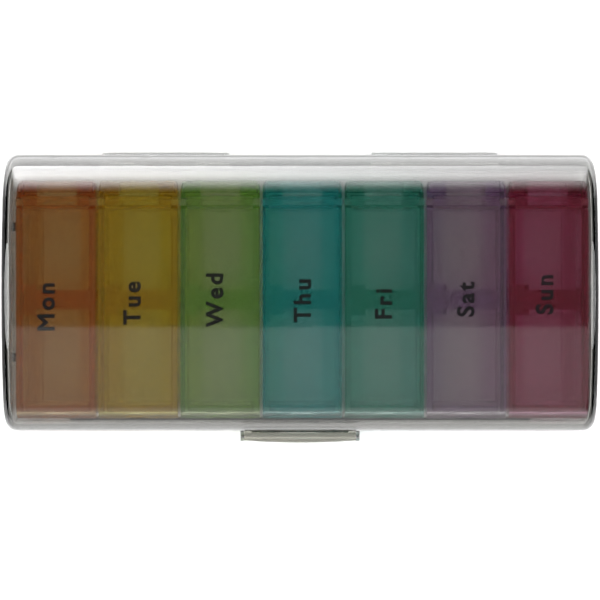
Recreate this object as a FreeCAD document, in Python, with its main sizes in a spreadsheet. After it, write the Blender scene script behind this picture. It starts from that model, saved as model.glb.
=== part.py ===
import FreeCAD, Part
import os
import re
import Sketcher

from FreeCAD import Vector

# Travel pill organizer: a clear clamshell case that holds seven day pods, each a two-compartment
# tray with its own hinged lid. X runs along the case, Y points to the hinge and Z is up. The origin
# is the middle of the underside that the case rests on. Sizes are millimetres.

DAYS = ["mon", "tue", "wed", "thu", "fri", "sat", "sun"]

DRIVING = {
    "case_length": 160.0,
    "case_width": 75.0,
    "case_height": 30.0,
    "case_wall": 1.8,
    "front_edge_radius": 8.6,
    "back_edge_radius": 12.6,
    "end_edge_radius": 3.2,
    "end_bow": 0.8,
    "parting_gap": 0.1,
    "hinge_centre": 36.4,
    "hinge_length": 34.0,
    "knuckle_radius": 2.4,
    "knuckle_proud": 0.5,
    "end_knuckle": 8.3,
    "axial_gap": 0.2,
    "swing_gap": 0.25,
    "running_gap": 0.05,
    "hinge_pin_radius": 0.8,
    "ledge_depth": 3.1,
    "ledge_height": 5.0,
    "tongue_half_length": 62.4,
    "lip_half_length": 56.4,
    "nub_spacing": 35.6,
    "nub_proud": 1.8,
    "clasp_width": 30.2,
    "clasp_reach": 3.3,
    "clasp_bow": 0.6,
    "clasp_top": 19.6,
    "clasp_axis_height": 8.8,
    "clasp_axis_out": 1.7,
    "cheek_thickness": 1.0,
    "cheek_radius": 1.65,
    "latch_pin_radius": 0.6,
    "scoop_outer": 13.2,
    "scoop_inner": 9.7,
    "pod_pitch": 22.0,
    "pod_width": 21.2,
    "pod_length": 64.0,
    "pod_height": 24.8,
    "pod_lift": 2.4,
    "pod_forward": 2.1,
    "pod_sideways": 0.6,
    "pod_end_radius": 5.5,
    "pod_foot_radius": 3.6,
    "pod_side_radius": 1.5,
    "pod_wall": 1.75,
    "pod_floor": 1.4,
    "cup_radius": 0.8,
    "channel_half": 5.3,
    "shelf_low": 3.4,
    "shelf_high": 4.6,
    "divider": 5.2,
    "divider_root": 8.1,
    "cup_back": 24.2,
    "cup_front": 28.2,
    "lid_plate": 1.6,
    "lid_gap": 0.1,
    "lid_axis_back": 26.1,
    "lid_axis_drop": 1.8,
    "barrel_radius": 1.6,
    "stub_radius": 0.8,
    "stub_proud": 0.3,
    "ear_thickness": 1.6,
}

# Sizes that follow from the driving ones; each is worked out by the sheet when it is used.
DERIVED = {
    "parting": "case_height / 2",
    "base_rim": "parting - parting_gap / 2",
    "lid_rim": "parting + parting_gap / 2",
    "half_length": "case_length / 2",
    "half_width": "case_width / 2",
    "inner_back": "half_width - case_wall",
    "inner_end": "half_length - case_wall",
    "hinge_y": "half_width + knuckle_proud - knuckle_radius",
    "ledge_y": "inner_back - ledge_depth",
    "middle_knuckle": "hinge_length - 2 * end_knuckle - 2 * axial_gap",
    "clasp_axis_y": "-half_width - clasp_axis_out",
    "first_pod": "pod_sideways - 3 * pod_pitch",
    "half_pod": "pod_width / 2",
    "half_pod_length": "pod_length / 2",
    "rim_height": "pod_height - lid_plate - lid_gap",
    "lid_under": "pod_height - lid_plate",
    "lid_axis_z": "pod_height - lid_axis_drop",
    "front_split": "pod_height - pod_end_radius",
    "cup_half": "half_pod - pod_wall",
    "ear_inside": "half_pod - ear_thickness",
}

doc = FreeCAD.newDocument("travel_pill_organizer")
sizes = doc.addObject("Spreadsheet::Sheet", "sizes")
for row, (alias, size) in enumerate(DRIVING.items(), start=1):
    sizes.set(f"A{row}", alias)
    sizes.set(f"B{row}", str(size))
    sizes.setAlias(f"B{row}", alias)
doc.recompute()


# ---------------------------------------------------------------- formulas and sketches

def formula(text):
    """Spell a size formula out with the cells of the sheet."""
    def spell(match):
        word = match.group()
        if word in DERIVED:
            return "(" + formula(DERIVED[word]) + ")"
        return "sizes." + word
    return re.sub(r"[a-z][a-z_]+", spell, text)


def value(text):
    """The number a size formula gives now."""
    found = sizes.evalExpression(formula(text))
    return float(getattr(found, "Value", found))


def bind(thing, setting, text):
    thing.setExpression(setting, formula(text))


def new_body(name):
    body = doc.addObject("PartDesign::Body", name)
    body.Label = name
    return body


def new_sketch(body, name, plane_role, offset="0"):
    """A sketch on an origin plane of the body, moved along the plane's normal."""
    plane = [item for item in body.Origin.OriginFeatures if item.Role == plane_role][0]
    sketch = body.newObject("Sketcher::SketchObject", f"{body.Name}_{name}")
    sketch.AttachmentSupport = [(plane, "")]
    sketch.MapMode = "FlatFace"
    bind(sketch, "AttachmentOffset.Base.z", offset)
    return sketch


def hold_point(sketch, geometry, end, across, up):
    """Hold a point of the sketch at two size formulas from the origin."""
    for kind, text in (("DistanceX", across), ("DistanceY", up)):
        number = sketch.addConstraint(Sketcher.Constraint(kind, -1, 1, geometry, end, value(text)))
        sketch.setExpression(f"Constraints[{number}]", formula(text))


def hold_radius(sketch, geometry, text):
    number = sketch.addConstraint(Sketcher.Constraint("Radius", geometry, value(text)))
    sketch.setExpression(f"Constraints[{number}]", formula(text))


def add_outline(sketch, corners):
    """A closed run of sides through corners given as pairs of formulas.

    A corner that also gives a radius and a turn, "left" or "right", starts a quarter arc.
    """
    first = sketch.GeometryCount
    places = [Vector(value(corner[0]), value(corner[1]), 0) for corner in corners]
    starts = []
    for corner, start, end in zip(corners, places, places[1:] + places[:1]):
        if len(corner) == 2:
            sketch.addGeometry(Part.LineSegment(start, end))
            starts.append(1)
            continue
        chord = end - start
        bulge = Vector(chord.y, -chord.x, 0) * (2 ** 0.5 - 1) / 2
        if corner[3] == "left":
            sketch.addGeometry(Part.Arc(start, (start + end) / 2 + bulge, end))
            starts.append(1)
        else:
            sketch.addGeometry(Part.Arc(end, (start + end) / 2 - bulge, start))
            starts.append(2)
    for step, corner in enumerate(corners):
        after = (step + 1) % len(corners)
        sketch.addConstraint(Sketcher.Constraint(
            "Coincident", first + step, 3 - starts[step], first + after, starts[after]))
        hold_point(sketch, first + step, starts[step], corner[0], corner[1])
        if len(corner) > 2:
            hold_radius(sketch, first + step, corner[2])


def add_rectangle(sketch, left, right, low, high):
    add_outline(sketch, [(left, low), (right, low), (right, high), (left, high)])


def add_circle(sketch, across, up, radius):
    centre = Vector(value(across), value(up), 0)
    number = sketch.addGeometry(Part.Circle(centre, Vector(0, 0, 1), value(radius)))
    hold_point(sketch, number, 3, across, up)
    hold_radius(sketch, number, radius)


# ---------------------------------------------------------------- features

def extrude(kind, body, sketch, length, both_ways, flipped):
    feature = body.newObject(kind, sketch.Name + "_solid")
    feature.Profile = sketch
    feature.SideType = "Symmetric" if both_ways else "One side"
    feature.Reversed = flipped
    bind(feature, "Length", length)
    doc.recompute()
    return feature


def pad(body, sketch, length, both_ways=False, flipped=False):
    return extrude("PartDesign::Pad", body, sketch, length, both_ways, flipped)


def pocket(body, sketch, length, both_ways=False, flipped=False):
    """Cut a sketch out of the body; a cut that removes nothing is an error."""
    before = body.Shape.Volume
    feature = extrude("PartDesign::Pocket", body, sketch, length, both_ways, flipped)
    if body.Shape.Volume > before - 0.001:
        raise ValueError(feature.Name + " removes nothing")
    return feature


def fillet(body, name, radius, wanted):
    """Round the edges of the body's newest feature that pass the test."""
    newest = body.Tip
    edges = [f"Edge{number}" for number, edge in enumerate(newest.Shape.Edges, start=1)
             if wanted(edge)]
    feature = body.newObject("PartDesign::Fillet", f"{body.Name}_{name}")
    feature.Base = (newest, edges)
    bind(feature, "Radius", radius)
    doc.recompute()
    if feature.Shape.isNull() or not feature.Shape.isValid():
        raise ValueError(feature.Name + " did not round")
    return feature


def side_profile(body, name, corners, length, centre="0", cut=False):
    """Pad or cut an outline drawn in Y and Z, reaching equally to both sides along X."""
    sketch = new_sketch(body, name, "YZ_Plane", centre)
    add_outline(sketch, corners)
    return (pocket if cut else pad)(body, sketch, length, both_ways=True)


def cross_rod(body, name, centre_y, centre_z, radius, length, centre="0", cut=False):
    """Pad or bore a round rod that lies along X."""
    sketch = new_sketch(body, name, "YZ_Plane", centre)
    add_circle(sketch, centre_y, centre_z, radius)
    return (pocket if cut else pad)(body, sketch, length, both_ways=True)


def near(number, text):
    return abs(number - value(text)) < 0.01


def runs_along(edge, axis):
    """Whether a straight edge runs along the given axis."""
    if edge.Degenerated or edge.Curve.TypeId != "Part::GeomLine":
        return False
    return abs(edge.tangentAt(edge.FirstParameter).dot(axis)) > 0.999


ALONG_X = Vector(1, 0, 0)
ALONG_Y = Vector(0, 1, 0)
ALONG_Z = Vector(0, 0, 1)


# ---------------------------------------------------------------- case

def hinge_parts():
    """Every hinge as a name and the formula of its centre along X."""
    return [("left", "-hinge_centre"), ("right", "hinge_centre")]


def end_knuckle_places(hinge):
    """Centres along X of the two outer knuckles of one hinge."""
    step = "(hinge_length - end_knuckle) / 2"
    return [("a", f"{hinge} - {step}"), ("b", f"{hinge} + {step}")]


def hollow_shell(body, outer, rim):
    """Half of the case: rounded block with bowed ends, hollowed from its rim."""
    side_profile(body, "block", [("-half_width", outer), ("half_width", outer),
                                 ("half_width", rim), ("-half_width", rim)], "case_length")
    for name, side in (("front", -1), ("back", 1)):
        fillet(body, name + "_round", name + "_edge_radius",
               lambda edge, side=side: runs_along(edge, ALONG_X)
               and near(edge.CenterOfMass.z, outer) and edge.CenterOfMass.y * side > 0)
    bow_the_ends(body)
    fillet(body, "end_rounds", "end_edge_radius",
           lambda edge: abs(edge.CenterOfMass.x) > value("half_length - 2 * end_bow")
           and not near(edge.CenterOfMass.z, rim))
    newest = body.Tip
    faces = [f"Face{number}" for number, face in enumerate(newest.Shape.Faces, start=1)
             if near(face.BoundBox.ZMin, rim) and near(face.BoundBox.ZMax, rim)]
    shell = body.newObject("PartDesign::Thickness", body.Name + "_shell")
    shell.Base = (newest, faces)
    shell.Reversed = True
    bind(shell, "Value", "case_wall")
    doc.recompute()


def bow_the_ends(body):
    """Trim the two ends to shallow arcs."""
    sketch = new_sketch(body, "bow", "XY_Plane", "case_height / 2")
    add_rectangle(sketch, "-half_length - 5", "half_length + 5", "-half_width - 5", "half_width + 5")
    first = sketch.GeometryCount
    across = value("half_length - end_bow")
    middle = value("half_length")
    up = value("half_width")
    corners = [Vector(-across, -up, 0), Vector(across, -up, 0),
               Vector(across, up, 0), Vector(-across, up, 0)]
    sketch.addGeometry(Part.LineSegment(corners[0], corners[1]))
    sketch.addGeometry(Part.Arc(corners[1], Vector(middle, 0, 0), corners[2]))
    sketch.addGeometry(Part.LineSegment(corners[2], corners[3]))
    sketch.addGeometry(Part.Arc(corners[3], Vector(-middle, 0, 0), corners[0]))
    for step in range(4):
        following = first + (step + 1) % 4
        sketch.addConstraint(Sketcher.Constraint("Coincident", first + step, 2, following, 1))
    for line, side in ((first, "-half_width"), (first + 2, "half_width")):
        start = "-half_length + end_bow" if line == first else "half_length - end_bow"
        end = "half_length - end_bow" if line == first else "-half_length + end_bow"
        hold_point(sketch, line, 1, start, side)
        hold_point(sketch, line, 2, end, side)
    for arc in (first + 1, first + 3):
        hold_radius(sketch, arc, "(half_width ^ 2 + end_bow ^ 2) / (2 * end_bow)")
    pocket(body, sketch, "case_height + 10", both_ways=True)


def hinge_side(body, rim, toward_shell):
    """Ledge that carries the knuckles, and the steep slope that lets the halves swing open."""
    step = "+" if toward_shell > 0 else "-"
    back = "-" if toward_shell > 0 else "+"
    side_profile(body, "ledge", [
        ("inner_back + 0.5", rim),
        ("ledge_y", rim),
        ("ledge_y", f"{rim} {step} ledge_height"),
        ("inner_back - 1", f"{rim} {step} (ledge_height + ledge_depth - 1)"),
        ("inner_back + 0.5", f"{rim} {step} (ledge_height - 1)"),
    ], "2 * inner_end + 1")
    side_profile(body, "swing_slope", [
        ("hinge_y - 0.1", f"{rim} {back} 0.5"),
        ("hinge_y - 0.1", f"parting {step} 0.2"),
        ("hinge_y + 2", f"parting {step} 8.2"),
        ("hinge_y + 4", f"parting {step} 8.2"),
        ("hinge_y + 4", f"{rim} {back} 0.5"),
    ], "case_length + 2", cut=True)


def case_base():
    body = new_body("case_base")
    hollow_shell(body, "0", "base_rim")
    hinge_side(body, "base_rim", -1)
    side_profile(body, "front_tongue", [
        ("-inner_back - 0.4", "base_rim"),
        ("-inner_back - 0.4", "base_rim - 6"),
        ("-inner_back + 1", "base_rim - 4"),
        ("-inner_back + 1", "parting + 2"),
        ("-inner_back + 0.2", "parting + 2"),
        ("-inner_back + 0.2", "base_rim"),
    ], "2 * tongue_half_length")
    for name, hinge in hinge_parts():
        cross_rod(body, name + "_window", "hinge_y", "parting", "knuckle_radius + swing_gap",
                  "middle_knuckle + 2 * axial_gap", hinge, cut=True)
        for which, place in end_knuckle_places(hinge):
            cross_rod(body, f"{name}_knuckle_{which}", "hinge_y", "parting", "knuckle_radius",
                      "end_knuckle", place)
        cross_rod(body, name + "_bore", "hinge_y", "parting", "hinge_pin_radius",
                  "hinge_length", hinge, cut=True)
    end_nubs(body)
    pod_feet(body)
    for name, side in (("left", "-1"), ("right", "1")):
        centre = f"{side} * (clasp_width / 2 + axial_gap + cheek_thickness / 2)"
        latch_cheek(body, name, centre)
    cross_rod(body, "latch_bore", "clasp_axis_y", "clasp_axis_height", "latch_pin_radius",
              "clasp_width + 2 * axial_gap + 2 * cheek_thickness", cut=True)
    return body


def latch_cheek(body, name, centre):
    """One of the two ears that hold the latch pin."""
    cross_rod(body, name + "_cheek", "clasp_axis_y", "clasp_axis_height", "cheek_radius",
              "cheek_thickness", centre)
    side_profile(body, name + "_cheek_root", [
        ("clasp_axis_y", "clasp_axis_height - cheek_radius"),
        ("-half_width + 0.9", "clasp_axis_height - cheek_radius"),
        ("-half_width + 0.9", "clasp_axis_height + 3.5"),
        ("clasp_axis_y", "clasp_axis_height + cheek_radius"),
    ], "cheek_thickness", centre)


def end_nubs(body):
    """Two upright nubs on the left end wall that keep the row of pods from sliding."""
    sketch = new_sketch(body, "nubs", "XY_Plane", "case_wall")
    for nub in ("-nub_spacing / 2", "nub_spacing / 2"):
        add_rectangle(sketch, "-inner_end - 0.4", "-inner_end + nub_proud",
                      f"{nub} - 1.2", f"{nub} + 1.2")
    pad(body, sketch, "10")


def pod_feet(body):
    """Two low ribs under every pod, repeated along the case."""
    sketch = new_sketch(body, "pod_rib", "XY_Plane", "case_wall - 0.4")
    for low, high in (("-31.2", "-25.7"), ("21.5", "27")):
        add_rectangle(sketch, "first_pod - 0.4", "first_pod + 0.4", low, high)
    rib = pad(body, sketch, "pod_lift - case_wall + 0.4 - 0.05")
    row = body.newObject("PartDesign::LinearPattern", body.Name + "_pod_ribs")
    row.Originals = [rib]
    row.Direction = (sketch, ["H_Axis"])
    row.Occurrences = len(DAYS)
    bind(row, "Length", "6 * pod_pitch")
    body.Tip = row
    doc.recompute()


def case_lid():
    body = new_body("case_lid")
    hollow_shell(body, "case_height", "lid_rim")
    hinge_side(body, "lid_rim", 1)
    side_profile(body, "front_lip", [
        ("-half_width - 1", "lid_rim - 1"),
        ("-half_width + 0.6", "lid_rim - 1"),
        ("-half_width + 0.6", "lid_rim"),
        ("-half_width - 0.1", "lid_rim + 1.4"),
        ("-half_width - 1", "lid_rim + 1.4"),
    ], "2 * lip_half_length", cut=True)
    side_profile(body, "catch_ridge", [
        ("-half_width + 0.5", "parting + 2"),
        ("-half_width - 0.6", "parting + 2.4"),
        ("-half_width - 0.6", "parting + 3"),
        ("-half_width + 0.5", "parting + 3.6"),
    ], "clasp_width - 4")
    for name, hinge in hinge_parts():
        for which, place in end_knuckle_places(hinge):
            cross_rod(body, f"{name}_window_{which}", "hinge_y", "parting",
                      "knuckle_radius + swing_gap", "end_knuckle + 2 * axial_gap", place, cut=True)
        cross_rod(body, name + "_knuckle", "hinge_y", "parting", "knuckle_radius",
                  "middle_knuckle", hinge)
        cross_rod(body, name + "_bore", "hinge_y", "parting", "hinge_pin_radius + running_gap",
                  "hinge_length", hinge, cut=True)
    return body


def hinge_pin(name, hinge):
    body = new_body("hinge_pin_" + name)
    cross_rod(body, "rod", "hinge_y", "parting", "hinge_pin_radius", "hinge_length - 0.6", hinge)
    return body


def latch_pin():
    body = new_body("latch_pin")
    cross_rod(body, "rod", "clasp_axis_y", "clasp_axis_height", "latch_pin_radius",
              "clasp_width + 2 * axial_gap + 2 * cheek_thickness - 0.2")
    return body


def latch_clasp():
    """Bowed plate that turns on the latch pin, with a thumb scoop in its top edge."""
    body = new_body("latch_clasp")
    sketch = new_sketch(body, "plan", "XY_Plane", "clasp_axis_height")
    across = value("clasp_width / 2")
    inner = value("-half_width - 0.3")
    outer = value("-half_width - clasp_reach + clasp_bow")
    middle = value("-half_width - clasp_reach")
    corners = [Vector(across, outer, 0), Vector(across, inner, 0),
               Vector(-across, inner, 0), Vector(-across, outer, 0)]
    for start, end in zip(corners, corners[1:]):
        sketch.addGeometry(Part.LineSegment(start, end))
    sketch.addGeometry(Part.Arc(corners[3], Vector(0, middle, 0), corners[0]))
    for line in range(4):
        sketch.addConstraint(Sketcher.Constraint("Coincident", line, 2, (line + 1) % 4, 1))
    hold_point(sketch, 0, 1, "clasp_width / 2", "-half_width - clasp_reach + clasp_bow")
    hold_point(sketch, 1, 1, "clasp_width / 2", "-half_width - 0.3")
    hold_point(sketch, 2, 1, "-clasp_width / 2", "-half_width - 0.3")
    hold_point(sketch, 2, 2, "-clasp_width / 2", "-half_width - clasp_reach + clasp_bow")
    hold_radius(sketch, 3, "((clasp_width / 2) ^ 2 + clasp_bow ^ 2) / (2 * clasp_bow)")
    pad(body, sketch, "clasp_top - clasp_axis_height")
    side_profile(body, "ridge_room", [
        ("-half_width", "parting + 1.6"),
        ("-half_width - 0.75", "parting + 2.1"),
        ("-half_width - 0.75", "clasp_top + 1"),
        ("-half_width", "clasp_top + 1"),
    ], "clasp_width + 2", cut=True)
    fillet(body, "top_round", "0.5",
           lambda edge: near(edge.BoundBox.ZMin, "clasp_top")
           and edge.CenterOfMass.y < value("-half_width - 1.5") and edge.Length > 5)
    scoop = new_sketch(body, "scoop", "XY_Plane", "clasp_top")
    add_outline(scoop, [
        ("-scoop_inner / 2", "-half_width"),
        ("-scoop_outer / 2", "-half_width - clasp_reach + 0.8"),
        ("scoop_outer / 2", "-half_width - clasp_reach + 0.8"),
        ("scoop_inner / 2", "-half_width"),
    ])
    pocket(body, scoop, "3")
    cross_rod(body, "barrel", "clasp_axis_y", "clasp_axis_height", "cheek_radius - 0.2",
              "clasp_width")
    cross_rod(body, "bore", "clasp_axis_y", "clasp_axis_height", "latch_pin_radius + running_gap",
              "clasp_width + 1", cut=True)
    return body


# ---------------------------------------------------------------- pods

def place_pod_part(body, number):
    """Move a pod part to its day's place in the row."""
    bind(body, "Placement.Base.x", f"({number - 3}) * pod_pitch + pod_sideways")
    bind(body, "Placement.Base.y", "-pod_forward")
    bind(body, "Placement.Base.z", "pod_lift")


def pod_tray(day, number):
    body = new_body(day + "_tray")
    side_profile(body, "block", [
        ("-half_pod_length", "0"), ("half_pod_length", "0"),
        ("half_pod_length", "pod_height"), ("-half_pod_length", "pod_height"),
    ], "pod_width")
    cups(body)
    fillet(body, "foot_rounds", "pod_foot_radius",
           lambda edge: runs_along(edge, ALONG_X) and near(edge.CenterOfMass.z, "0"))
    fillet(body, "back_round", "pod_end_radius",
           lambda edge: runs_along(edge, ALONG_X) and near(edge.CenterOfMass.z, "pod_height")
           and near(edge.CenterOfMass.y, "half_pod_length"))
    fillet(body, "side_rounds", "pod_side_radius",
           lambda edge: runs_along(edge, ALONG_Y) and near(edge.CenterOfMass.z, "0"))
    lid_seat(body)
    hinge_end(body)
    place_pod_part(body, number)
    return body


def cups(body):
    """The two pill compartments: a channel with a raised shelf along each side, and a divider
    that is thicker on the left shelf."""
    for name, low, high in (("front", "-cup_front", "-divider / 2"),
                            ("back", "divider / 2", "cup_back")):
        sketch = new_sketch(body, name + "_cup", "XZ_Plane", f"-({low} + {high}) / 2")
        add_outline(sketch, [
            ("-channel_half", "pod_floor"),
            ("channel_half", "pod_floor"),
            ("channel_half", "pod_floor + shelf_low"),
            ("cup_half", "pod_floor + shelf_high"),
            ("cup_half", "pod_height + 1"),
            ("-cup_half", "pod_height + 1"),
            ("-cup_half", "pod_floor + shelf_high"),
            ("-channel_half", "pod_floor + shelf_low"),
        ])
        pocket(body, sketch, f"{high} - ({low})", both_ways=True)
    fillet(body, "cup_corners", "cup_radius",
           lambda edge: runs_along(edge, ALONG_Z) and near(abs(edge.CenterOfMass.x), "cup_half"))
    root = new_sketch(body, "divider_root", "XY_Plane", "pod_floor - 0.4")
    add_rectangle(root, "-half_pod + 1", "-channel_half", "-divider_root / 2", "divider_root / 2")
    pad(body, root, "rim_height - pod_floor + 0.4")


def lid_seat(body):
    """Cut the top down to the rim that the lid closes on, round at the front like the lid."""
    front = "-half_pod_length + lid_plate + lid_gap"
    radius = "(pod_end_radius - lid_plate - lid_gap)"
    side_profile(body, "lid_seat", [
        ("-half_pod_length - 1", "front_split - lid_gap"),
        (front, "front_split - lid_gap", radius, "right"),
        (f"{front} + {radius}", "rim_height"),
        ("lid_axis_back + 2.5", "rim_height"),
        ("lid_axis_back + 2.5", "pod_height + 1"),
        ("-half_pod_length - 1", "pod_height + 1"),
    ], "pod_width + 2", cut=True)


def hinge_end(body):
    """Ears with pin holes, the trough for the lid's barrel and the core under them."""
    core = new_sketch(body, "core", "XY_Plane")
    add_rectangle(core, "-channel_half", "channel_half", "cup_back + 1.4", "half_pod_length - 1.4")
    pocket(body, core, "rim_height - barrel_radius - 1.7", flipped=True)
    cross_rod(body, "trough", "lid_axis_back", "lid_axis_z", "barrel_radius + 0.2",
              "2 * ear_inside", cut=True)
    for name, side in (("left", "-1"), ("right", "1")):
        cross_rod(body, name + "_ear", "lid_axis_back", "lid_axis_z", "barrel_radius",
                  "ear_thickness", f"{side} * (half_pod - ear_thickness / 2)")
    cross_rod(body, "pin_holes", "lid_axis_back", "lid_axis_z", "stub_radius + running_gap",
              "pod_width + 2", cut=True)


def pod_lid(day, number):
    body = new_body(day + "_lid")
    side_profile(body, "plate", [
        ("-half_pod_length", "front_split"),
        ("-half_pod_length + lid_plate", "front_split", "pod_end_radius - lid_plate", "right"),
        ("-half_pod_length + pod_end_radius", "lid_under"),
        ("cup_back - 0.1", "lid_under"),
        ("cup_back - 0.1", "pod_height"),
        ("-half_pod_length + pod_end_radius", "pod_height", "pod_end_radius", "left"),
    ], "pod_width")
    side_profile(body, "hinge_web", [
        ("cup_back - 0.6", "lid_under"), ("lid_axis_back", "lid_under"),
        ("lid_axis_back", "lid_axis_z + barrel_radius"), ("cup_back - 0.6", "pod_height - 0.2"),
    ], "2 * ear_inside - 0.5")
    cross_rod(body, "barrel", "lid_axis_back", "lid_axis_z", "barrel_radius",
              "2 * ear_inside - 0.5")
    cross_rod(body, "stubs", "lid_axis_back", "lid_axis_z", "stub_radius",
              "pod_width + 2 * stub_proud")
    thumb_notch(body)
    place_pod_part(body, number)
    return body


def thumb_notch(body):
    """Shallow round notch in the front skirt where a thumb lifts the lid."""
    sketch = new_sketch(body, "notch", "XZ_Plane", "half_pod_length")
    add_circle(sketch, "0", "front_split - 1.5", "4")
    pocket(body, sketch, "0.8")


# ---------------------------------------------------------------- build and write

parts = [case_base(), case_lid(), latch_clasp(), latch_pin()]
parts += [hinge_pin(name, hinge) for name, hinge in hinge_parts()]
for place, weekday in enumerate(DAYS):
    parts.append(pod_tray(weekday, place))
    parts.append(pod_lid(weekday, place))
doc.recompute()

for item in doc.Objects:
    if "Invalid" in item.State or "Error" in item.State:
        raise ValueError(item.Name + " did not compute")
os.makedirs("parts", exist_ok=True)
for part in parts:
    if part.Shape.isNull() or not part.Shape.isValid() or len(part.Shape.Solids) != 1:
        raise ValueError(part.Label + " is not one valid solid")
    part.Shape.exportStep(f"parts/{part.Label}.step")
    print(part.Label, round(part.Shape.Volume), "mm3")
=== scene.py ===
import math

import bpy
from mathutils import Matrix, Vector


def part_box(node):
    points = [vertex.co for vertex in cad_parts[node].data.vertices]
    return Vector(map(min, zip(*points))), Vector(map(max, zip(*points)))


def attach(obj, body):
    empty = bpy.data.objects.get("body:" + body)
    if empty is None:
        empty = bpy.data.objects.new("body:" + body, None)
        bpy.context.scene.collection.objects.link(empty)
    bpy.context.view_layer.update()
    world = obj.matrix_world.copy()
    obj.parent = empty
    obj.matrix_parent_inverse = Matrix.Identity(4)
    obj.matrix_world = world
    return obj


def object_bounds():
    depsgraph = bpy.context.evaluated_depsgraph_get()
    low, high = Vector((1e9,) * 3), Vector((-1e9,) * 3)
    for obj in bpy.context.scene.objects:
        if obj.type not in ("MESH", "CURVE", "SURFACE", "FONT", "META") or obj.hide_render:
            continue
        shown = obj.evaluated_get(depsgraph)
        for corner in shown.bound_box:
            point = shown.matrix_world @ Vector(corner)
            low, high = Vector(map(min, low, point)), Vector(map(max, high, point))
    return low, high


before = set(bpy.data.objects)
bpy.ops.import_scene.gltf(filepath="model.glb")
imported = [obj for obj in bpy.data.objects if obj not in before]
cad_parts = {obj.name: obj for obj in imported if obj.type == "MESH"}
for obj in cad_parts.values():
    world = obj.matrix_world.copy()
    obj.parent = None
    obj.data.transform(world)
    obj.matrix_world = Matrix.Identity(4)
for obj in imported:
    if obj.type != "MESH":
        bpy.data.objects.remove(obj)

# A travel pill organizer in a clear case, seen from straight above on a white floor. The CAD nodes
# get their plastics and steel here, and the day names are added as print on the pod lids.

CAD_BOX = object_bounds()
HALF_LENGTH = CAD_BOX[1][0]
HALF_DEPTH = CAD_BOX[1][1]
MM = 0.001
DAYS = ["mon", "tue", "wed", "thu", "fri", "sat", "sun"]

# What one millimetre of each plastic lets through, in red, green and blue.
SMOKE = (0.735, 0.733, 0.722)
PALE_SMOKE = (0.925, 0.923, 0.91)
POD_TINTS = {
    "mon": (0.992, 0.94, 0.84),
    "tue": (0.993, 0.975, 0.80),
    "wed": (0.965, 0.99, 0.90),
    "thu": (0.90, 0.985, 0.985),
    "fri": (0.90, 0.98, 0.972),
    "sat": (0.975, 0.958, 0.985),
    "sun": (0.975, 0.86, 0.93),
}

# The milky part of a plastic: its colour, and the share of light that each surface scatters.
POD_MILK = {
    "mon": (0.70, 0.40, 0.19),
    "tue": (0.78, 0.60, 0.17),
    "wed": (0.46, 0.58, 0.34),
    "thu": (0.12, 0.55, 0.56),
    "fri": (0.20, 0.54, 0.43),
    "sat": (0.48, 0.37, 0.40),
    "sun": (0.54, 0.19, 0.21),
}
POD_MILK_SHARE = 0.12
CLASP_MILK = (0.68, 0.67, 0.60)
CLASP_MILK_SHARE = 0.25
PLASTIC_IOR = 1.49
CASE_ROUGHNESS = 0.02
POD_ROUGHNESS = 0.025
CLASP_ROUGHNESS = 0.03

# The printed names: capitals about 4.6 mm high, set widely, a little bold and nearly flat.
LETTER_SIZE = 6.3 * MM
LETTER_SPACING = 1.25
STROKE_GROWTH = 0.19 * MM
PRINT_FLATNESS = 0.05
PRINT_LIFT = 0.04 * MM

# How far each printed name sits from the middle of its pod, in millimetres across and along.
NAME_SHIFTS = {
    "mon": (-2.3, -2.0),
    "tue": (-1.3, -0.9),
    "wed": (-1.2, 0.0),
    "thu": (0.3, -0.2),
    "fri": (0.0, -1.2),
    "sat": (0.0, 0.0),
    "sun": (-0.9, 1.4),
}

# The studio: how far its panels reach from the middle of the case, and how high its sheets lie.
# A fade that starts as late as NO_FADE isn't seen.
STUDIO_REACH = 0.9
STUDIO_HALF_WIDTH = 0.8
TOP_HALF_WIDTH = 0.6
FLAG_REACH = 0.4
END_BOX_REACH = 0.7
OVERHEAD = 1.5
FLOOR_HALF_SIZE = 1.5
FLOOR_GAP = 0.2 * MM
# Height above the floor of the painted-shade sheets.
PAINTED_SHADE_HEIGHT = 0.5 * MM
CARD_HEIGHT = 1 * MM
FLAG_HEIGHT = 2 * MM
FADE_POWER = 4
NO_FADE = 0.999
OVAL_CORNERS = 64

# The camera: its distance from the level where the closed case looks widest, that level as a share
# of the case's height, how far it stands towards the front, and how much of the picture's width
# the case takes up.
CAMERA_DISTANCE = 0.75
WIDEST_LEVEL = 0.86
CAMERA_Y = -2.2 * MM
CASE_SHARE = 0.99417


# ---------------------------------------------------------------- materials

class Graph:
    """A material's node tree with short ways to add and join nodes."""

    def __init__(self, name):
        self.material = bpy.data.materials.new(name)
        self.material.use_nodes = True
        self.tree = self.material.node_tree
        self.tree.nodes.clear()

    def add(self, kind, **settings):
        node = self.tree.nodes.new(kind)
        for key, setting in settings.items():
            if key in node.inputs:
                node.inputs[key].default_value = setting
            else:
                setattr(node, key, setting)
        return node

    def join(self, source, target):
        self.tree.links.new(source, target)


def clear_plastic(name, per_mm, roughness, milk=None, milk_share=0):
    """Moulded see-through plastic: it bends light and darkens it by the length of its path.

    A milk colour also makes it a little cloudy.
    """
    graph = Graph(name)
    output = graph.add("ShaderNodeOutputMaterial")
    glass = graph.add("ShaderNodeBsdfPrincipled")
    glass.inputs["Base Color"].default_value = (1, 1, 1, 1)
    glass.inputs["Transmission Weight"].default_value = 1
    glass.inputs["IOR"].default_value = PLASTIC_IOR
    uneven_roughness(graph, glass, (roughness * 0.5, roughness * 1.5), scale=90, detail=3)
    body = glass
    if milk:
        body = cloud(graph, glass, milk, milk_share)
    surface = let_lamps_through(graph, body)
    graph.join(surface.outputs[0], output.inputs["Surface"])
    inside = absorption(graph, per_mm)
    graph.join(inside.outputs[0], output.inputs["Volume"])
    return graph.material


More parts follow.
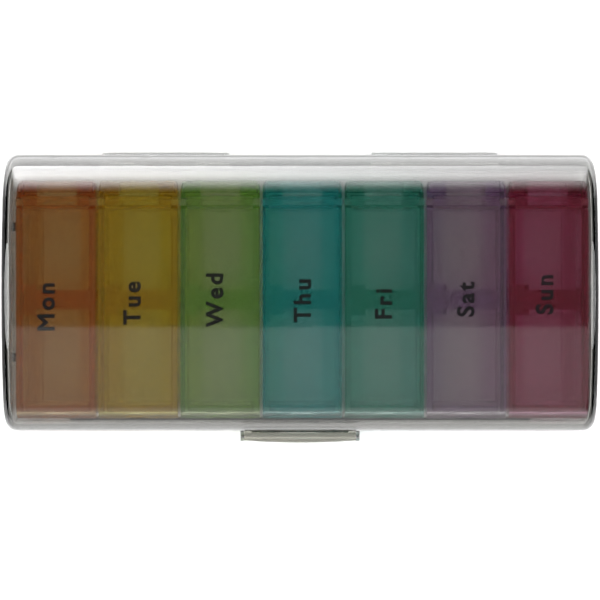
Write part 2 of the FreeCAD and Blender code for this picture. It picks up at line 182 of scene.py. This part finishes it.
def uneven_roughness(graph, shader, limits, scale, detail):
    """Let a shader's roughness wander between two limits."""
    place = graph.add("ShaderNodeTexCoord")
    haze = graph.add("ShaderNodeTexNoise", Scale=scale, Detail=detail)
    graph.join(place.outputs["Object"], haze.inputs["Vector"])
    rough = ramp(graph, haze.outputs["Fac"], (0, 1), limits, "LINEAR")
    graph.join(rough, shader.inputs["Roughness"])


def let_lamps_through(graph, body):
    """Light from lamps and bounces passes straight through, so the plastic casts a tinted shadow."""
    through = graph.add("ShaderNodeBsdfTransparent")
    path = graph.add("ShaderNodeLightPath")
    lamp_or_bounce = graph.add("ShaderNodeMath", operation="MAXIMUM")
    mix = graph.add("ShaderNodeMixShader")
    graph.join(path.outputs["Is Shadow Ray"], lamp_or_bounce.inputs[0])
    graph.join(path.outputs["Is Diffuse Ray"], lamp_or_bounce.inputs[1])
    graph.join(lamp_or_bounce.outputs[0], mix.inputs["Fac"])
    graph.join(body.outputs[0], mix.inputs[1])
    graph.join(through.outputs[0], mix.inputs[2])
    return mix


def absorption(graph, per_mm):
    """A volume that lets this share of red, green and blue through each millimetre."""
    loss = [-math.log(share) / MM for share in per_mm]
    density = max(loss)
    tint = [1 - each / density for each in loss]
    return graph.add("ShaderNodeVolumeAbsorption", Density=density, Color=(*tint, 1))


def cloud(graph, glass, colour, share):
    """Mix a little scattering, to both sides of the surface, into clear plastic."""
    back = graph.add("ShaderNodeBsdfDiffuse", Color=(*colour, 1))
    onward = graph.add("ShaderNodeBsdfTranslucent", Color=(*colour, 1))
    milk = graph.add("ShaderNodeMixShader", Fac=0.5)
    graph.join(back.outputs[0], milk.inputs[1])
    graph.join(onward.outputs[0], milk.inputs[2])
    cloudy = graph.add("ShaderNodeMixShader", Fac=share)
    graph.join(glass.outputs[0], cloudy.inputs[1])
    graph.join(milk.outputs[0], cloudy.inputs[2])
    return cloudy


def pin_steel():
    """Ground steel with a fine grain."""
    graph = Graph("pin_steel")
    output = graph.add("ShaderNodeOutputMaterial")
    metal = graph.add("ShaderNodeBsdfPrincipled")
    metal.inputs["Base Color"].default_value = (0.6, 0.6, 0.62, 1)
    metal.inputs["Metallic"].default_value = 1
    uneven_roughness(graph, metal, (0.2, 0.4), scale=2500, detail=4)
    graph.join(metal.outputs[0], output.inputs["Surface"])
    return graph.material


def ink():
    """Matt black print that is a little worn in places."""
    graph = Graph("label_ink")
    output = graph.add("ShaderNodeOutputMaterial")
    paint = graph.add("ShaderNodeBsdfPrincipled")
    place = graph.add("ShaderNodeTexCoord")
    wear = graph.add("ShaderNodeTexNoise", Scale=1500.0, Detail=5.0)
    graph.join(place.outputs["Object"], wear.inputs["Vector"])
    shade = graph.add("ShaderNodeValToRGB")
    shade.color_ramp.elements[0].color = (0.004, 0.004, 0.006, 1)
    shade.color_ramp.elements[1].color = (0.02, 0.02, 0.024, 1)
    graph.join(wear.outputs["Fac"], shade.inputs["Fac"])
    graph.join(shade.outputs["Color"], paint.inputs["Base Color"])
    paint.inputs["Roughness"].default_value = 0.5
    graph.join(paint.outputs[0], output.inputs["Surface"])
    return graph.material


def plain_floor():
    """Matt white paper."""
    graph = Graph("floor_white")
    output = graph.add("ShaderNodeOutputMaterial")
    paint = graph.add("ShaderNodeBsdfPrincipled")
    paint.inputs["Base Color"].default_value = (0.9, 0.9, 0.9, 1)
    paint.inputs["Roughness"].default_value = 0.9
    graph.join(paint.outputs[0], output.inputs["Surface"])
    return graph.material


def dress(node, material):
    """Put one material on a CAD node."""
    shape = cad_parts[node].data
    shape.materials.clear()
    shape.materials.append(material)


# ---------------------------------------------------------------- printed day names

def day_label(day, material):
    """The day's name printed flat on the top of its pod lid."""
    tray_low, tray_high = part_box(day + "_tray")
    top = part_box(day + "_lid")[1][2]
    across, along = NAME_SHIFTS[day]
    letters = bpy.data.curves.new(day + "_label", "FONT")
    letters.body = day.capitalize()
    letters.align_x = "CENTER"
    letters.align_y = "CENTER"
    letters.size = LETTER_SIZE
    letters.space_character = LETTER_SPACING
    letters.resolution_u = 6
    letters.bevel_depth = STROKE_GROWTH
    letters.bevel_resolution = 1
    letters.materials.append(material)
    label = bpy.data.objects.new(day + "_label", letters)
    bpy.context.collection.objects.link(label)
    label.scale.z = PRINT_FLATNESS
    label.rotation_euler.z = math.pi / 2
    label.location.x = (tray_low[0] + tray_high[0]) / 2 + across * MM
    label.location.y = (tray_low[1] + tray_high[1]) / 2 + along * MM
    label.location.z = top + PRINT_LIFT
    bpy.context.view_layer.update()
    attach(label, day + "_lid")


# ---------------------------------------------------------------- stage, light and camera

def flat_sheet(name, place, outline, material):
    """A thin flat shape that belongs to the studio and not to the object."""
    shape = bpy.data.meshes.new(name)
    shape.from_pydata(outline, [], [range(len(outline))])
    shape.materials.append(material)
    sheet = bpy.data.objects.new(name, shape)
    bpy.context.collection.objects.link(sheet)
    sheet.location = place
    return sheet


def build_floor():
    """A large pale sheet just under the case."""
    size = 2 * FLOOR_HALF_SIZE
    level = CAD_BOX[0][2] - FLOOR_GAP
    flat_sheet("floor", (0, 0, level), rectangle(size, size), plain_floor())


def build_floor_light(size, power):
    """A soft lamp overhead that lights the floor and leaves no mirror image in the plastic."""
    data = bpy.data.lights.new("overhead", "AREA")
    data.size = size
    data.energy = power
    light = bpy.data.objects.new("overhead", data)
    bpy.context.collection.objects.link(light)
    light.location = (0, 0, OVERHEAD)
    light.visible_glossy = False
    light.visible_transmission = False


def even_glow(name, strength):
    """Panel light of one strength."""
    graph = Graph(name)
    output = graph.add("ShaderNodeOutputMaterial")
    emission = graph.add("ShaderNodeEmission", Strength=strength)
    graph.join(emission.outputs[0], output.inputs["Surface"])
    return graph.material


def soft_glow(name, left, right, fade_from):
    """Panel light of two strengths that fades out at its sides and towards its top."""
    graph = Graph(name)
    output = graph.add("ShaderNodeOutputMaterial")
    emission = graph.add("ShaderNodeEmission")
    place = graph.add("ShaderNodeTexCoord")
    split = graph.add("ShaderNodeSeparateXYZ")
    graph.join(place.outputs["Generated"], split.inputs[0])
    across = ramp(graph, split.outputs["X"], (0.3, 0.7), (right, left), "SMOOTHSTEP")
    from_middle = graph.add("ShaderNodeMath", operation="SUBTRACT")
    graph.join(split.outputs["X"], from_middle.inputs[0])
    from_middle.inputs[1].default_value = 0.5
    distance = graph.add("ShaderNodeMath", operation="ABSOLUTE")
    graph.join(from_middle.outputs[0], distance.inputs[0])
    sides = ramp(graph, distance.outputs[0], (0.25, 0.5), (1, 0), "SMOOTHSTEP")
    upward = ramp(graph, split.outputs["Y"], (fade_from, 1), (1, 0), "LINEAR")
    falling = graph.add("ShaderNodeMath", operation="POWER")
    graph.join(upward, falling.inputs[0])
    falling.inputs[1].default_value = FADE_POWER
    strength = product(graph, product(graph, across, sides), falling.outputs[0])
    graph.join(strength, emission.inputs["Strength"])
    graph.join(emission.outputs[0], output.inputs["Surface"])
    return graph.material


def ramp(graph, source, inward, outward, shape):
    """Map one range of a value to another; both ranges are pairs of numbers."""
    node = graph.add("ShaderNodeMapRange", interpolation_type=shape)
    node.inputs["From Min"].default_value = inward[0]
    node.inputs["From Max"].default_value = inward[1]
    node.inputs["To Min"].default_value = outward[0]
    node.inputs["To Max"].default_value = outward[1]
    graph.join(source, node.inputs["Value"])
    return node.outputs[0]


def product(graph, first, second):
    """Multiply two values."""
    node = graph.add("ShaderNodeMath", operation="MULTIPLY")
    graph.join(first, node.inputs[0])
    graph.join(second, node.inputs[1])
    return node.outputs[0]


def rectangle(width, height):
    """The corners of a rectangle about its middle."""
    return [(width / 2 * x, height / 2 * y, 0) for x, y in ((-1, -1), (1, -1), (1, 1), (-1, 1))]


def oval(width, height):
    """The corners of an oval about its middle."""
    turns = [math.tau * step / OVAL_CORNERS for step in range(OVAL_CORNERS)]
    return [(width / 2 * math.cos(turn), height / 2 * math.sin(turn), 0) for turn in turns]


def panel(name, place, outline, material):
    """A flat sheet that is only seen as a reflection in outer surfaces and lights no floor."""
    sheet = flat_sheet(name, place, outline, material)
    sheet.visible_camera = False
    sheet.visible_diffuse = False
    sheet.visible_shadow = False
    sheet.visible_transmission = False
    return sheet


def softbox(name, x, y, outline, material):
    """An upright panel that stands on the floor and faces the case."""
    half_height = max(corner[1] for corner in outline)
    sheet = panel(name, (x, y, half_height), outline, material)
    inward = Vector((-x, -y, 0))
    sheet.rotation_euler = inward.to_track_quat("-Z", "Y").to_euler()


def card(name, low, high, height, strength):
    """A level panel between two corners given as X and Y."""
    middle = ((low[0] + high[0]) / 2, (low[1] + high[1]) / 2, height)
    outline = rectangle(high[0] - low[0], high[1] - low[1])
    return panel(name, middle, outline, even_glow(name, strength))


def painted_shade_card(name, low, high, strength):
    """A dim glowing card on the floor that is only seen through the plastic: painted shade that tones
    the white floor down.
    """
    sheet = card(name, low, high, PAINTED_SHADE_HEIGHT, strength)
    sheet.visible_glossy = False
    sheet.visible_transmission = True


def build_boxes():
    """Upright panels: the highlights along the rounded edges and in the ends."""
    softbox("back_box", 0, STUDIO_REACH, rectangle(width=1.2, height=3.2),
            soft_glow("back_box", left=20, right=11, fade_from=0.14))
    softbox("front_box", 0, -STUDIO_REACH, rectangle(width=1.6, height=1.5),
            soft_glow("front_box", left=2.1, right=1.9, fade_from=NO_FADE))
    strip = oval(width=0.075, height=0.9)
    softbox("left_box", -END_BOX_REACH, 0, strip, even_glow("left_box", strength=6.5))
    softbox("right_box", END_BOX_REACH, 0, strip, even_glow("right_box", strength=4.3))


def build_cards():
    """Level panels: the tones mirrored in the rounded edges, the ends and the flat top."""
    back = HALF_DEPTH + 4 * MM
    back_step = HALF_DEPTH + 24 * MM
    front = -HALF_DEPTH - 8 * MM
    top_edge = -23.5 * MM
    wide = STUDIO_HALF_WIDTH
    card("back_near_card", (-wide, back), (wide, back_step), CARD_HEIGHT, strength=3)
    card("back_card", (-wide, back_step), (wide, STUDIO_REACH), CARD_HEIGHT, strength=6.6)
    card("front_card", (-wide, -STUDIO_REACH), (wide, front), CARD_HEIGHT, strength=2.6)
    card("top_card", (-TOP_HALF_WIDTH, -STUDIO_REACH), (TOP_HALF_WIDTH, top_edge), OVERHEAD, strength=1)
    end = HALF_LENGTH + 5 * MM
    flag_front = -HALF_DEPTH + 8 * MM
    flag_back = HALF_DEPTH - 6 * MM
    card("left_flag", (-FLAG_REACH, flag_front), (-end, flag_back), FLAG_HEIGHT, strength=0.6)
    card("right_flag", (end, flag_front), (FLAG_REACH, flag_back), FLAG_HEIGHT, strength=0.6)


def build_painted_shade():
    """Painted shade all round the case: dim glowing sheets that tone down the white floor seen through
    its edges.
    """
    end = HALF_LENGTH + 3 * MM
    far_end = 2 * HALF_LENGTH
    far = HALF_LENGTH
    front = -HALF_DEPTH - 6 * MM
    back = HALF_DEPTH + 4 * MM
    # Painted shade: these sheets glow less than the lit floor, so the floor seen through the case's
    # edges looks shaded.
    painted_shade_card("left_painted_shade", (-far_end, -far), (-end, far), strength=0.65)
    painted_shade_card("right_painted_shade", (end, -far), (far_end, far), strength=0.5)
    painted_shade_card("front_painted_shade", (-end, -far), (end, front), strength=0.9)
    painted_shade_card("back_painted_shade", (-end, back), (end, far), strength=1.2)


def build_world():
    """White surroundings that light the floor and stay out of the reflections."""
    world = bpy.data.worlds.new("studio")
    bpy.context.scene.world = world
    world.use_nodes = True
    world.node_tree.nodes["Background"].inputs["Color"].default_value = (1, 1, 1, 1)
    world.node_tree.nodes["Background"].inputs["Strength"].default_value = 1
    world.cycles_visibility.glossy = False
    world.cycles_visibility.transmission = False


def build_camera():
    """Straight above the closed case, with the case filling the width of the picture."""
    half_view = HALF_LENGTH / CASE_SHARE
    level = WIDEST_LEVEL * CAD_BOX[1][2]
    data = bpy.data.cameras.new("camera")
    data.angle = 2 * math.atan(half_view / CAMERA_DISTANCE)
    camera = bpy.data.objects.new("camera", data)
    bpy.context.collection.objects.link(camera)
    camera.location = (0, CAMERA_Y, CAMERA_DISTANCE + level)
    bpy.context.scene.camera = camera


def set_light_paths():
    """Enough bounces for light to pass through the case, a pod and back out."""
    scene = bpy.context.scene
    scene.view_settings.view_transform = "Standard"
    scene.cycles.max_bounces = 24
    scene.cycles.transmission_bounces = 24
    scene.cycles.transparent_max_bounces = 48
    scene.cycles.glossy_bounces = 8
    scene.cycles.caustics_refractive = False
    scene.cycles.caustics_reflective = False


# ---------------------------------------------------------------- the object

def dress_case():
    smoke = clear_plastic("smoke_plastic", SMOKE, CASE_ROUGHNESS)
    for part in ("case_base", "case_lid"):
        dress(part, smoke)
    pale = clear_plastic("clasp_plastic", PALE_SMOKE, CLASP_ROUGHNESS, CLASP_MILK, CLASP_MILK_SHARE)
    dress("latch_clasp", pale)
    steel = pin_steel()
    for part in ("hinge_pin_left", "hinge_pin_right", "latch_pin"):
        dress(part, steel)


def dress_pods():
    label_ink = ink()
    for day in DAYS:
        tinted = clear_plastic(day + "_plastic", POD_TINTS[day], POD_ROUGHNESS,
                               POD_MILK[day], POD_MILK_SHARE)
        dress(day + "_tray", tinted)
        dress(day + "_lid", tinted)
        day_label(day, label_ink)


dress_case()
dress_pods()
build_floor()
build_world()
build_floor_light(size=1.5, power=32)
build_boxes()
build_cards()
build_painted_shade()
build_camera()
set_light_paths()
